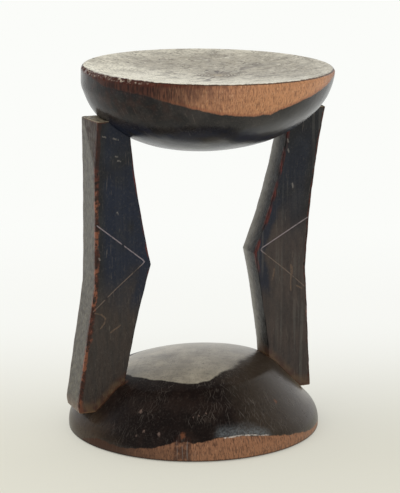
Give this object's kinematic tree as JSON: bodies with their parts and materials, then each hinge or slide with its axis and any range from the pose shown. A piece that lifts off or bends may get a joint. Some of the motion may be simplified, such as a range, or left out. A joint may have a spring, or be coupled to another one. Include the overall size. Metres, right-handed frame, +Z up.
{
  "type": "stool",
  "caption": "Low carved stool: a dished round seat on two broad elbowed legs over a domed round base, stained dark with bare wood along the edges.",
  "frame": {"origin": "on the floor, under the middle of the base's flat underside", "axes": "+Z up; the two legs stand side by side along X; the front, with the incised faces, looks along -Y"},
  "size_m": [0.2356, 0.2249, 0.3214],
  "materials": {
    "seat_wood": "dark stain, satin, worn to bare orange-brown wood below the rim and to a grey patina on top",
    "leg_wood": "dark stain, satin, worn to reddish brown along the edges",
    "base_wood": "dark stain, satin, scratched, with bare orange-brown wood along the foot"
  },
  "bodies": {
    "root": {"seat": "seat_wood", "left_leg": "leg_wood", "right_leg": "leg_wood", "base": "base_wood"}
  },
  "joints": []
}
